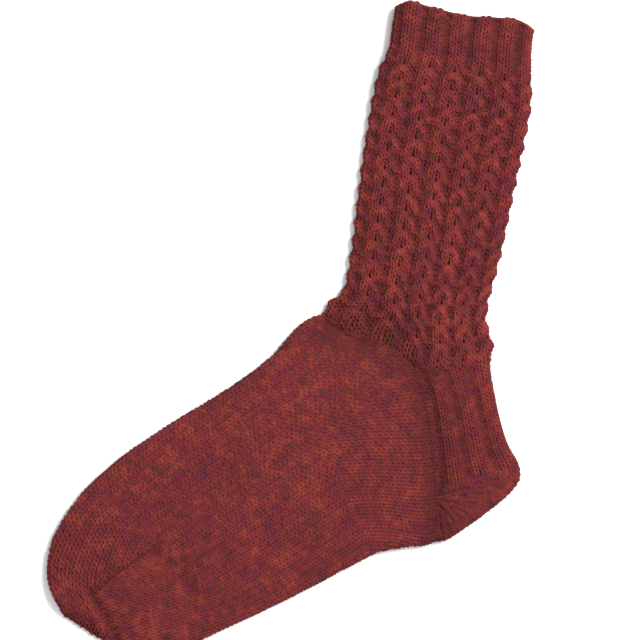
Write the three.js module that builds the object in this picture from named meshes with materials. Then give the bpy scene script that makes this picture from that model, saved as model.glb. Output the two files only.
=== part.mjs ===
// A hand-knitted wool sock with an eyelet-rib leg, lying flat on its side.
//
// The sock is one knitted tube, pressed flat: two layers of cloth, joined by a rounded
// fold down the front of the leg and instep, and by another down the back of the leg,
// round the heel and along the sole. The mouth at the cuff stands a little open.
// Each knitted section is a hollow wall of its own, half a seam short at each end.
//
// Millimetres, +Z up, +Y along the leg to the mouth. The sock rests on Z = 0, and the
// origin is under the middle of its box.

import * as THREE from 'three';

// Driving dimensions
const WALL = 2.4; // thickness of the knitted cloth
const THIN_WALL_SHARE = 0.4; // the cloth's greatest share of the height, where that is low
const HALF_SEAM = 0.16; // each section stops this far from the line where the next begins
const FLAT_HEIGHT = 6.6; // both layers with the thin space between them
const MOUTH_RISE = 5.4; // extra height at the open mouth
const MOUTH_FROM = 96; // Y where the leg starts to lift towards the mouth
const MOUTH_TO = 178; // Y where it is fully lifted
const ANKLE_RISE = 2.0; // extra height where the gusset leaves the cloth full
const ANKLE = [48, -46]; // middle of that fullness
const ANKLE_REACH = 46; // how far the fullness spreads
const FOLD_SHARE = 0.85; // reach of a rounded fold inwards, as a share of the height
const TOE_ROUND = 8; // length over which the toe rounds down to its grafted end
const TOE_END_HEIGHT = 0.36; // height left at that end, as a share of the full height

// The front fold, from the rim of the cuff to the end of the toe
const FRONT = [
  [16.8, 178.4], // 0 rim
  [16.2, 168.0],
  [16.0, 155.4], // 2 foot of the cuff
  [12.6, 142.6],
  [11.6, 106.0],
  [12.4, 70.5],
  [13.2, 42.0],
  [12.2, 26.4],
  [6.8, 19.8],
  [3.6, 12.6], // 9 foot of the leg, front of the ankle
  [-3.4, 9.2],
  [-12.6, -1.6],
  [-17.0, -9.8],
  [-32.4, -26.8],
  [-73.8, -63.0],
  [-91.2, -80.2],
  [-105.6, -98.2], // 16 start of the toe
  [-116.2, -118.6],
  [-119.1, -134.4],
  [-116.4, -150.1],
  [-107.1, -163.4], // 20 end of the toe
];
const FRONT_STOPS = { rim: 0, cuffFoot: 2, legFoot: 9, toeStart: 16, toeEnd: 20 };

// The back fold, from the rim down the leg, round the heel and along the sole
const BACK = [
  [89.6, 177.4], // 0 rim
  [90.0, 167.0],
  [92.0, 155.0], // 2 foot of the cuff
  [94.6, 136.0],
  [93.0, 96.0],
  [91.4, 58.0],
  [88.9, 24.0],
  [94.2, 11.2],
  [94.4, 2.6], // 8 foot of the leg
  [101.7, -19.7],
  [111.3, -40.3],
  [118.1, -49.1], // 11 foot of the heel flap
  [119.8, -55.9],
  [116.2, -64.0],
  [96.3, -85.8],
  [82.6, -96.9], // 15 end of the turned heel
  [65.4, -101.9],
  [51.1, -107.1],
  [39.5, -115.8],
  [22.2, -128.9],
  [-11.2, -152.3], // 20 start of the toe
  [-45.7, -175.3],
  [-61.0, -182.6], // 22 end of the toe
];
const BACK_STOPS = { rim: 0, cuffFoot: 2, legFoot: 8, flapFoot: 11, heelEnd: 15, toeStart: 20, toeEnd: 22 };

// The rim of the cuff, which dips between its two corners
const RIM = [[16.8, 178.4], [22.0, 182.4], [32.0, 181.4], [53.0, 179.5], [82.0, 181.4], [89.6, 177.4]];

// Where the eyelet rib stops: from the ankle down to the gusset corner, then to the back
const HEM_INSTEP = [[3.6, 12.6], [20.6, 5.4], [37.6, 3.0], [55.6, -6.6]];
const HEM_HEEL = [[55.6, -6.6], [75.0, -4.6], [94.4, 2.6]];

// The picked-up stitches: down the side of the heel flap, then beside the turned heel
const FLAP_SIDE = [[55.6, -6.6], [64.2, -20.0], [71.6, -42.0], [78.6, -70.0]];
const HEEL_SIDE = [[80.0, -77.0], [81.4, -86.0], [82.6, -96.9]];

// The side line between instep and sole, from the gusset corner to the end of the toe
const SIDE_OF_FOOT = [[55.6, -6.6], [-63.9, -121.6]];
const SIDE_OF_TOE = [[-63.9, -121.6], [-77.8, -135.0], [-90.0, -150.0], [-93.0, -169.7]];
const SIDE_LEAD = 0.3; // how much sooner the side line moves on, next to the heel
const BEND_FADE = 1.4; // how fast the foot's rows lose the bend of the gusset corner

// How finely the sections are divided
const CURVE_STEPS = 24; // samples between two points of an outline
const FOLD_STEPS = 3; // facets round a quarter of a fold
const INSTEP_STEPS = 7; // facets across a layer, from the front fold to the side line
const HEEL_STEPS = 6; // facets across a layer, from the side line to the back fold
const ROWS = { cuff: 3, leg: 11, heelFlap: 7, heelTurn: 6, foot: 13, toe: 7 };

const WOOL = {
  cuff: 0x74302f, leg: 0x722e30, heelFlap: 0x702d30, heelTurn: 0x702d2f, foot: 0x7a3635, toe: 0x7a3736,
};
const WOOL_ROUGHNESS = 0.95;

const { clamp, lerp, smoothstep } = THREE.MathUtils;

function between(p, q, share) {
  return [lerp(p[0], q[0], share), lerp(p[1], q[1], share)];
}

function gapOf(p, q) {
  return Math.hypot(q[0] - p[0], q[1] - p[1]);
}

// A line of plan points that is walked by length
class Route {
  constructor(points) {
    this.points = points;
    this.lengths = [0];
    for (let i = 1; i < points.length; i++) {
      this.lengths.push(this.lengths[i - 1] + gapOf(points[i - 1], points[i]));
    }
    this.length = this.lengths[points.length - 1];
  }

  after(travelled) {
    const wanted = clamp(travelled, 0, this.length);
    let i = 1;
    while (i < this.points.length - 1 && this.lengths[i] < wanted) i++;
    const step = this.lengths[i] - this.lengths[i - 1];
    return between(this.points[i - 1], this.points[i], (wanted - this.lengths[i - 1]) / step);
  }

  at(share) {
    return this.after(share * this.length);
  }

  // The same line moved sideways: to the right of its direction
  movedRight(by) {
    const last = this.points.length - 1;
    return new Route(this.points.map((p, i) => {
      const before = this.points[Math.max(i - 1, 0)];
      const next = this.points[Math.min(i + 1, last)];
      const span = gapOf(before, next);
      return [p[0] + (next[1] - before[1]) / span * by, p[1] - (next[0] - before[0]) / span * by];
    }));
  }
}

// The smooth curve through the points of an outline, or through some of them
function curveThrough(points, first = 0, last = points.length - 1) {
  const curve = new THREE.CatmullRomCurve3(
    points.map(([x, y]) => new THREE.Vector3(x, y, 0)), false, 'centripetal');
  const steps = (last - first) * CURVE_STEPS;
  const samples = [];
  for (let i = 0; i <= steps; i++) {
    const p = curve.getPoint((first + i / CURVE_STEPS) / (points.length - 1));
    samples.push([p.x, p.y]);
  }
  return new Route(samples);
}

// A line from p to q with a share of the bend of a model line
function bentLike(model, bend, p, q) {
  const samples = [];
  for (let i = 0; i <= CURVE_STEPS; i++) {
    const share = i / CURVE_STEPS;
    const onModel = model.at(share);
    const onChord = between(model.at(0), model.at(1), share);
    const here = between(p, q, share);
    samples.push([here[0] + (onModel[0] - onChord[0]) * bend, here[1] + (onModel[1] - onChord[1]) * bend]);
  }
  return new Route(samples);
}

function joined(first, second) {
  return new Route([...first.points, ...second.points.slice(1)]);
}

// Height of the upper layer's face, away from the folds
function heightAt([x, y]) {
  const mouth = MOUTH_RISE * smoothstep(y, MOUTH_FROM, MOUTH_TO);
  const off = gapOf([x, y], ANKLE) / ANKLE_REACH;
  return FLAT_HEIGHT + mouth + ANKLE_RISE * Math.exp(-off * off);
}

// Where a row's points lie along its route, from the front fold or an open side edge to
// the middle of the back fold. turn is the angle round a fold, and a quarter turn is flat.
function stationsOf(route, sideAt) {
  const quarter = Math.PI / 2;
  const frontReach = FOLD_SHARE * heightAt(route.at(0));
  const backReach = FOLD_SHARE * heightAt(route.at(1));
  const stations = [];
  const flat = (travelled) => stations.push({ travelled, turn: quarter, inwards: 0 });
  const flatFrom = (from, to, steps) => {
    for (let i = 1; i <= steps; i++) flat(lerp(from, to, i / steps));
  };
  if (sideAt === null) {
    flat(HALF_SEAM);
    flatFrom(HALF_SEAM, route.length - backReach, HEEL_STEPS);
  } else {
    for (let i = 0; i < FOLD_STEPS; i++) {
      const turn = quarter * i / FOLD_STEPS;
      stations.push({ travelled: frontReach * (1 - Math.cos(turn)), turn, inwards: WALL });
    }
    flat(frontReach);
    flatFrom(frontReach, sideAt, INSTEP_STEPS);
    flatFrom(sideAt, route.length - backReach, HEEL_STEPS);
  }
  for (let i = FOLD_STEPS - 1; i >= 0; i--) {
    const turn = quarter * i / FOLD_STEPS;
    stations.push({ travelled: route.length - backReach * (1 - Math.cos(turn)), turn, inwards: -WALL });
  }
  return stations;
}

// One row: its outer and inner points round the tube, over the upper layer and back
// under the lower one. sideAt is the route's length up to the side line, or null for a
// row that starts at an open side edge.
function rowOf(route, sideAt, squash = 1) {
  const upper = { outer: [], inner: [] };
  const lower = { outer: [], inner: [] };
  stationsOf(route, sideAt).forEach(({ travelled, turn, inwards }) => {
    const p = route.after(travelled);
    const q = route.after(travelled + inwards * Math.cos(turn));
    const height = heightAt(p) * squash;
    const skin = Math.min(WALL, THIN_WALL_SHARE * height);
    const rise = height / 2 * Math.sin(turn);
    const innerRise = (height / 2 - skin) * Math.sin(turn);
    upper.outer.push([...p, height / 2 + rise]);
    upper.inner.push([...q, height / 2 + innerRise]);
    lower.outer.unshift([...p, height / 2 - rise]);
    lower.inner.unshift([...q, height / 2 - innerRise]);
  });
  const lowerEnd = sideAt === null ? undefined : -1;
  return {
    outer: [...upper.outer, ...lower.outer.slice(1, lowerEnd)],
    inner: [...upper.inner, ...lower.inner.slice(1, lowerEnd)],
  };
}

// A closed wall from its rows: the outer face, the inner face and the edges between them.
// ring: the rows close on themselves. shut: the last row's layers are joined together.
function wallOf(rows, { ring = true, shut = false } = {}) {
  const count = rows[0].outer.length;
  const innerRows = shut ? rows.length - 1 : rows.length;
  const positions = [];
  const index = [];
  rows.forEach((row) => positions.push(...row.outer.flat()));
  rows.slice(0, innerRows).forEach((row) => positions.push(...row.inner.flat()));
  const outside = (r, i) => r * count + i % count;
  const inside = (r, i) => (rows.length + r) * count + i % count;
  const triangle = (a, b, c) => index.push(a, b, c);
  const quad = (a, b, c, d) => {
    triangle(a, b, c);
    triangle(a, c, d);
  };
  const lastRow = rows.length - 1;
  const lastPoint = count - 1;

  for (let i = 0; i < (ring ? count : lastPoint); i++) {
    for (let r = 0; r < lastRow; r++) {
      quad(outside(r, i), outside(r + 1, i), outside(r + 1, i + 1), outside(r, i + 1));
    }
    for (let r = 0; r < innerRows - 1; r++) {
      quad(inside(r, i), inside(r, i + 1), inside(r + 1, i + 1), inside(r + 1, i));
    }
    quad(outside(0, i), outside(0, i + 1), inside(0, i + 1), inside(0, i));
    if (!shut) quad(outside(lastRow, i), inside(lastRow, i), inside(lastRow, i + 1), outside(lastRow, i + 1));
  }
  for (let r = 0; r < (ring ? 0 : lastRow); r++) {
    quad(outside(r, 0), inside(r, 0), inside(r + 1, 0), outside(r + 1, 0));
    quad(outside(r, lastPoint), outside(r + 1, lastPoint), inside(r + 1, lastPoint), inside(r, lastPoint));
  }
  if (shut) {
    // Point i of the upper layer is over point count - i of the lower one
    const half = count / 2;
    [[(i) => outside(lastRow, i), quad, triangle],
      [(i) => inside(innerRows - 1, i), (a, b, c, d) => quad(d, c, b, a), (a, b, c) => triangle(c, b, a)],
    ].forEach(([face, addQuad, addTriangle]) => {
      addTriangle(face(0), face(count - 1), face(1));
      for (let i = 1; i < half - 1; i++) addQuad(face(i), face(count - i), face(count - i - 1), face(i + 1));
      addTriangle(face(half - 1), face(half + 1), face(half));
    });
  }
  const geometry = new THREE.BufferGeometry();
  geometry.setAttribute('position', new THREE.Float32BufferAttribute(positions, 3));
  geometry.setIndex(index);
  geometry.computeVertexNormals();
  return geometry;
}

const hemInstep = curveThrough(HEM_INSTEP);
const hemHeel = curveThrough(HEM_HEEL);
const hem = joined(hemInstep, hemHeel);
const flapSide = curveThrough([...FLAP_SIDE, ...HEEL_SIDE], 0, FLAP_SIDE.length - 1);
const pivotSide = curveThrough([...FLAP_SIDE, ...HEEL_SIDE], FLAP_SIDE.length - 1, FLAP_SIDE.length);
const heelSide = curveThrough([...FLAP_SIDE, ...HEEL_SIDE], FLAP_SIDE.length);
const pickedUp = joined(joined(flapSide, pivotSide), heelSide);
const sideShare = hemInstep.length / hem.length;

const frontFold = (from, to) => curveThrough(FRONT, FRONT_STOPS[from], FRONT_STOPS[to]);
const backFold = (from, to) => curveThrough(BACK, BACK_STOPS[from], BACK_STOPS[to]);

// Even shares from 0 to 1
const evenly = (steps) => Array.from({ length: steps + 1 }, (_, i) => i / steps);

// The row's route, stopped half a seam short where the section begins or ends
function heldBack(route, share) {
  if (share === 0) return route.movedRight(HALF_SEAM);
  return share === 1 ? route.movedRight(-HALF_SEAM) : route;
}

function cuff() {
  const rim = curveThrough(RIM);
  const front = frontFold('rim', 'cuffFoot');
  const back = backFold('rim', 'cuffFoot');
  return wallOf(evenly(ROWS.cuff).map((share) => {
    const route = bentLike(rim, 1 - share, front.at(share), back.at(share));
    const held = share === 1 ? heldBack(route, share) : route;
    return rowOf(held, held.length * sideShare);
  }));
}

function leg() {
  const front = frontFold('cuffFoot', 'legFoot');
  const back = backFold('cuffFoot', 'legFoot');
  return wallOf(evenly(ROWS.leg).map((share) => {
    const route = heldBack(bentLike(hem, share * share, front.at(share), back.at(share)), share);
    return rowOf(route, route.length * sideShare);
  }));
}

function heelFlap() {
  const back = backFold('legFoot', 'flapFoot');
  return wallOf(evenly(ROWS.heelFlap).map((share) => {
    const route = bentLike(hemHeel, 1 - share, flapSide.at(share), back.at(share));
    return rowOf(heldBack(route, share), null);
  }), { ring: false });
}

function heelTurn() {
  const back = backFold('flapFoot', 'heelEnd');
  return wallOf(evenly(ROWS.heelTurn).map((share) => {
    const route = bentLike(heelSide, share, pivotSide.at(share), back.at(share));
    return rowOf(heldBack(route, share), null);
  }), { ring: false });
}

function foot() {
  const front = frontFold('legFoot', 'toeStart');
  const back = backFold('heelEnd', 'toeStart');
  const side = curveThrough(SIDE_OF_FOOT);
  return wallOf(evenly(ROWS.foot).map((share) => {
    const bend = (1 - share) ** BEND_FADE;
    const corner = side.at(share + SIDE_LEAD * share * (1 - share));
    const instep = bentLike(hemInstep, bend, front.at(share), corner);
    const sole = bentLike(pickedUp, bend, corner, back.at(share));
    const route = heldBack(joined(instep, sole), share);
    return rowOf(route, instep.length);
  }));
}

function toe() {
  const front = frontFold('toeStart', 'toeEnd');
  const back = backFold('toeStart', 'toeEnd');
  const side = curveThrough(SIDE_OF_TOE);
  const roundFrom = 1 - TOE_ROUND / side.length;
  const shares = [...evenly(ROWS.toe).map((share) => share * roundFrom), lerp(roundFrom, 1, 0.6), 1];
  return wallOf(shares.map((share) => {
    const instep = curveThrough([front.at(share), side.at(share)]);
    const route = joined(instep, curveThrough([side.at(share), back.at(share)]));
    const rounding = Math.max(share - roundFrom, 0) / (1 - roundFrom);
    const squash = Math.max(Math.sqrt(1 - rounding ** 2), TOE_END_HEIGHT);
    return rowOf(share === 0 ? heldBack(route, share) : route, instep.length, squash);
  }), { shut: true });
}

const sections = { cuff: cuff(), leg: leg(), heelFlap: heelFlap(), heelTurn: heelTurn(), foot: foot(), toe: toe() };
const sock = new THREE.Group();
for (const [name, geometry] of Object.entries(sections)) {
  const material = new THREE.MeshStandardMaterial({ color: WOOL[name], roughness: WOOL_ROUGHNESS, metalness: 0 });
  const mesh = new THREE.Mesh(geometry, material);
  mesh.name = name;
  sock.add(mesh);
}

export default sock;
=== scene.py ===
# %% [markdown]
# # A hand-knitted wool sock
#
# The sock is one knitted tube: a ribbed cuff, a leg in eyelet rib, a ribbed heel, and a plain
# foot and toe. It lies flat on its side. Every row of knitting is built as a real strand of
# yarn that runs loop by loop along its row, on a thin wall that closes the gaps behind it.
# The packed model gives the size, the place and the sections, and nothing here changes them.

# %% Load the frame
import math

import bpy
import numpy as np
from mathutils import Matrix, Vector


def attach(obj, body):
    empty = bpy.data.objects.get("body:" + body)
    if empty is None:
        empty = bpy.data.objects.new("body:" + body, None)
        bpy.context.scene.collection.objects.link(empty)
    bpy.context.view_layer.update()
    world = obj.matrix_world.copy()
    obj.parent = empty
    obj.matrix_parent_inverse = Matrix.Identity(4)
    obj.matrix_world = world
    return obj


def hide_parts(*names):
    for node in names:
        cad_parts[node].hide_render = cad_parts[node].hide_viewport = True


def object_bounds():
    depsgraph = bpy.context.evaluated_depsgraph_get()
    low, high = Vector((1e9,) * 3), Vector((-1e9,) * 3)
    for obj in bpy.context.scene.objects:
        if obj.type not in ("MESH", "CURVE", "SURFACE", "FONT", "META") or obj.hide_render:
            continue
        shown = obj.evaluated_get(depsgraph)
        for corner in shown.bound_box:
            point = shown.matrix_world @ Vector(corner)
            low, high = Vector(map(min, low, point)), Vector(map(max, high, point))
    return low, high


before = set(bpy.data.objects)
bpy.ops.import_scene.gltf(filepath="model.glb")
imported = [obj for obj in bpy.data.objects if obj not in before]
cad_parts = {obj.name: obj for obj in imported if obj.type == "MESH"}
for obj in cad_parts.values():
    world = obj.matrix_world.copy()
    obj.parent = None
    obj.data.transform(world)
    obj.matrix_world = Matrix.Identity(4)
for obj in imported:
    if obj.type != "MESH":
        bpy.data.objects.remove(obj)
cad_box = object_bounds()
MM = 0.001
print("sections:", sorted(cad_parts))
print("box, mm:", [[round(c / MM, 1) for c in corner] for corner in cad_box])

# %% [markdown]
# ## Camera
#
# The sock lies on a table and is seen from straight above, so one camera looks down at it,
# turned a little so that the leg leans to the right. A camera close by would widen what is
# nearest to it. A long lens far up keeps the view free of that, as on a copy stand.

# %% Make the camera
VIEW_WIDTH = 0.3366  # metres, like every size of the stage
VIEW_OFFSET = (0.0028, 0.0094)
CAMERA_HEIGHT = 1.8
CAMERA_TURN = math.radians(9)
SENSOR = 36

box_middle = (cad_box[0] + cad_box[1]) / 2
camera_data = bpy.data.cameras.new("copy_stand_camera")
camera_data.sensor_width = SENSOR
camera_data.lens = SENSOR * CAMERA_HEIGHT / VIEW_WIDTH
camera = bpy.data.objects.new("copy_stand_camera", camera_data)
camera.location = (box_middle.x + VIEW_OFFSET[0], box_middle.y + VIEW_OFFSET[1], CAMERA_HEIGHT)
camera.rotation_euler = (0, 0, CAMERA_TURN)
bpy.context.scene.collection.objects.link(camera)
bpy.context.scene.camera = camera
print("lens, mm:", round(camera_data.lens))

# %% [markdown]
# ## Floor and light
#
# A plain pale floor and three soft lamps. The key stands beyond the cuff on the right, so the
# ribs and the folds turn a soft dark side to the left. One bare lamp would leave that side
# black, so a weak, broad fill on the left and a wide lamp overhead keep it open.

# %% Make the floor, the lamps and the world
FLOOR_SIDE = 4.0
FLOOR_DROP = 0.0004  # keeps the floor just under the lowest yarn
FLOOR_COLOUR = (0.95, 0.95, 0.95, 1)
FLOOR_ROUGHNESS = 0.9
WORLD_STRENGTH = 0.28
LAMPS = {  # place, size across and watts
    "key": ((0.75, 0.7, 1.25), 0.75, 38),
    "fill": ((-1.2, 0.1, 1.3), 1.2, 1.8),
    "top": ((0.1, -0.3, 1.9), 1.6, 16),
}

bpy.ops.mesh.primitive_plane_add(size=FLOOR_SIDE, location=(box_middle.x, box_middle.y, -FLOOR_DROP))
floor = bpy.context.object
floor.name = "floor"
floor_finish = bpy.data.materials.new("pale_floor")
floor_finish.use_nodes = True
floor_shader = floor_finish.node_tree.nodes["Principled BSDF"]
floor_shader.inputs["Base Color"].default_value = FLOOR_COLOUR
floor_shader.inputs["Roughness"].default_value = FLOOR_ROUGHNESS
floor.data.materials.append(floor_finish)


def soft_lamp(name, place, aim, size, watts):
    data = bpy.data.lights.new(name, "AREA")
    data.shape = "DISK"
    data.size = size
    data.energy = watts
    lamp = bpy.data.objects.new(name, data)
    lamp.location = place
    lamp.rotation_euler = (Vector(aim) - Vector(place)).to_track_quat("-Z", "Y").to_euler()
    bpy.context.scene.collection.objects.link(lamp)


for lamp_name, (place, size, watts) in LAMPS.items():
    soft_lamp(lamp_name, place, box_middle, size, watts)

world = bpy.data.worlds.new("studio")
bpy.context.scene.world = world
world.use_nodes = True
background = world.node_tree.nodes["Background"]
background.inputs["Color"].default_value = (1, 1, 1, 1)
background.inputs["Strength"].default_value = WORLD_STRENGTH
bpy.context.scene.view_settings.view_transform = "Standard"
print("lamps:", list(LAMPS))

# %% [markdown]
# ## The sock's plan
#
# The outline is the pressed tube's two folds. The front fold runs down the leg and over the
# instep, and the back fold runs down the leg, round the heel and along the sole. Between them
# lie the seams where one section hands over to the next. They could be measured again from
# the packed meshes, but these are the same lines that those were made from, in millimetres,
# so the yarn lies exactly where its solid does.

# %% The outline and the seams, in mm
WALL = 2.4
FLAT_HEIGHT = 6.6
MOUTH_RISE, MOUTH_FROM, MOUTH_TO = 5.4, 96, 178
ANKLE_RISE, ANKLE, ANKLE_REACH = 2.0, (48, -46), 46
FOLD_SHARE = 0.85
TOE_ROUND, TOE_END_HEIGHT = 8, 0.36

FRONT = [
    (16.8, 178.4), (16.2, 168.0), (16.0, 155.4), (12.6, 142.6), (11.6, 106.0), (12.4, 70.5),
    (13.2, 42.0), (12.2, 26.4), (6.8, 19.8), (3.6, 12.6), (-3.4, 9.2), (-12.6, -1.6),
    (-17.0, -9.8), (-32.4, -26.8), (-73.8, -63.0), (-91.2, -80.2), (-105.6, -98.2),
    (-116.2, -118.6), (-119.1, -134.4), (-116.4, -150.1), (-107.1, -163.4),
]
BACK = [
    (89.6, 177.4), (90.0, 167.0), (92.0, 155.0), (94.6, 136.0), (93.0, 96.0), (91.4, 58.0),
    (88.9, 24.0), (94.2, 11.2), (94.4, 2.6), (101.7, -19.7), (111.3, -40.3), (118.1, -49.1),
    (119.8, -55.9), (116.2, -64.0), (96.3, -85.8), (82.6, -96.9), (65.4, -101.9),
    (51.1, -107.1), (39.5, -115.8), (22.2, -128.9), (-11.2, -152.3), (-45.7, -175.3),
    (-61.0, -182.6),
]
FRONT_STOPS = {"rim": 0, "cuff_foot": 2, "leg_foot": 9, "toe_start": 16, "toe_end": 20}
BACK_STOPS = {
    "rim": 0, "cuff_foot": 2, "leg_foot": 8, "flap_foot": 11, "heel_end": 15,
    "toe_start": 20, "toe_end": 22,
}
RIM = [(16.8, 178.4), (22.0, 182.4), (32.0, 181.4), (53.0, 179.5), (82.0, 181.4), (89.6, 177.4)]
HEM_INSTEP = [(3.6, 12.6), (20.6, 5.4), (37.6, 3.0), (55.6, -6.6)]
HEM_HEEL = [(55.6, -6.6), (75.0, -4.6), (94.4, 2.6)]
FLAP_SIDE = [(55.6, -6.6), (64.2, -20.0), (71.6, -42.0), (78.6, -70.0)]
HEEL_SIDE = [(80.0, -77.0), (81.4, -86.0), (82.6, -96.9)]
SIDE_OF_FOOT = [(55.6, -6.6), (-63.9, -121.6)]
SIDE_OF_TOE = [(-63.9, -121.6), (-77.8, -135.0), (-90.0, -150.0), (-93.0, -169.7)]
SIDE_LEAD = 0.3  # share by which the side line sets off down the foot faster than the folds
BEND_FADE = 1.4  # how fast the foot's rows lose the bend of the gusset corner
RIM_IN = 0.09  # share of the cuff's depth that the cast-on edge takes up
print("points in the two folds:", len(FRONT), len(BACK))

# %% [markdown]
# ## Plan lines
#
# A line is a list of plan points that can be walked by length. The folds are smooth, and
# hand-set curve handles would have to be set again after each change. Centripetal Catmull-Rom
# curves need none: they pass through every point without loops or overshoot.

# %% A line that is walked by length
CURVE_STEPS = 24  # samples between two points


class Line:
    def __init__(self, points):
        self.points = np.asarray(points, float)
        steps = np.linalg.norm(np.diff(self.points, axis=0), axis=1)
        self.lengths = np.concatenate([[0], np.cumsum(steps)])
        self.length = self.lengths[-1]

    def after(self, travelled):
        return np.stack([np.interp(travelled, self.lengths, self.points[:, k]) for k in (0, 1)], -1)

    def at(self, share):
        return self.after(np.asarray(share) * self.length)


def smooth_line(points, first=0, last=None):
    """The curve between two of the points, by their numbers."""
    points = np.asarray(points, float)
    last = len(points) - 1 if last is None else last
    padded = np.vstack([2 * points[0] - points[1], points, 2 * points[-1] - points[-2]])
    w = (np.arange(CURVE_STEPS) / CURVE_STEPS)[:, None]
    samples = []
    for i in range(first, last):
        p0, p1, p2, p3 = padded[i:i + 4]
        d0, d1, d2 = (math.sqrt(np.linalg.norm(b - a)) for a, b in ((p0, p1), (p1, p2), (p2, p3)))
        start = d1 * ((p1 - p0) / d0 - (p2 - p0) / (d0 + d1) + (p2 - p1) / d1)
        end = d1 * ((p2 - p1) / d1 - (p3 - p1) / (d1 + d2) + (p3 - p2) / d2)
        cubic = 2 * p1 - 2 * p2 + start + end
        square = -3 * p1 + 3 * p2 - 2 * start - end
        samples.append(p1 + start * w + square * w**2 + cubic * w**3)
    return Line(np.vstack([*samples, points[last]]))


def bent_like(model, bend, p, q):
    """A line from p to q that keeps a share of the model's bend."""
    share = np.linspace(0, 1, CURVE_STEPS + 1)[:, None]
    ends = model.at(0), model.at(1)
    off_chord = model.at(share[:, 0]) - (ends[0] + (ends[1] - ends[0]) * share)
    return Line(p + (q - p) * share + off_chord * bend)


def joined(first, second):
    return Line(np.vstack([first.points, second.points[1:]]))


def front_fold(start, end):
    return smooth_line(FRONT, FRONT_STOPS[start], FRONT_STOPS[end])


def back_fold(start, end):
    return smooth_line(BACK, BACK_STOPS[start], BACK_STOPS[end])


hem_instep = smooth_line(HEM_INSTEP)
hem_heel = smooth_line(HEM_HEEL)
hem = joined(hem_instep, hem_heel)
side_edge = FLAP_SIDE + HEEL_SIDE
flap_side = smooth_line(side_edge, 0, len(FLAP_SIDE) - 1)
pivot_side = smooth_line(side_edge, len(FLAP_SIDE) - 1, len(FLAP_SIDE))
heel_side = smooth_line(side_edge, len(FLAP_SIDE))
picked_up = joined(joined(flap_side, pivot_side), heel_side)
print("hem, mm:", round(hem.length, 1), " picked-up edge, mm:", round(picked_up.length, 1))

# %% [markdown]
# ## The height of the pressed tube
#
# A sock that lies on a table is nearly flat. Only its mouth stays open a little, and the cloth
# bunches at the ankle. A cloth simulation could settle it, but its folds wouldn't fall where
# this sock's do, so the height is a formula of the place: a flat level, a slow rise towards
# the mouth and one soft mound.

# %% How high it stands
def smooth_step(x, low, high):
    x = np.clip((x - low) / (high - low), 0, 1)
    return x * x * (3 - 2 * x)


def height_at(p):
    mouth = MOUTH_RISE * smooth_step(p[..., 1], MOUTH_FROM, MOUTH_TO)
    off = np.linalg.norm(p - np.array(ANKLE), axis=-1) / ANKLE_REACH
    return FLAT_HEIGHT + mouth + ANKLE_RISE * np.exp(-off * off)


for spot in ("rim", "leg_foot", "toe_start"):
    print(spot, "height, mm:", round(float(height_at(np.array(BACK[BACK_STOPS[spot]]))), 1))

# %% [markdown]
# ## The middle surface of the cloth
#
# Each section is a grid. One way it counts rows of knitting, and the other way it goes round
# the pressed tube: over the upper layer, round the back fold, and under the lower layer. A
# place is found from a row number and a share of the way round, and both may be fractions,
# so a loop of yarn can be drawn on it as if on graph paper. The packed mesh could be read
# instead, but its facets are longer than a stitch.

# %% Build the grid of one section
AROUND = 240  # places kept round the tube
FLAT_PLACES = 60  # samples over the flat stretch between the folds
MID = WALL / 2
QUARTER = np.linspace(0, math.pi / 2, 10)  # the turn of the cloth over half a fold
TINY = 1e-9  # so that a vector without length can be divided by


def unit(v):
    return v / np.maximum(np.linalg.norm(v, axis=-1, keepdims=True), TINY)


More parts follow.
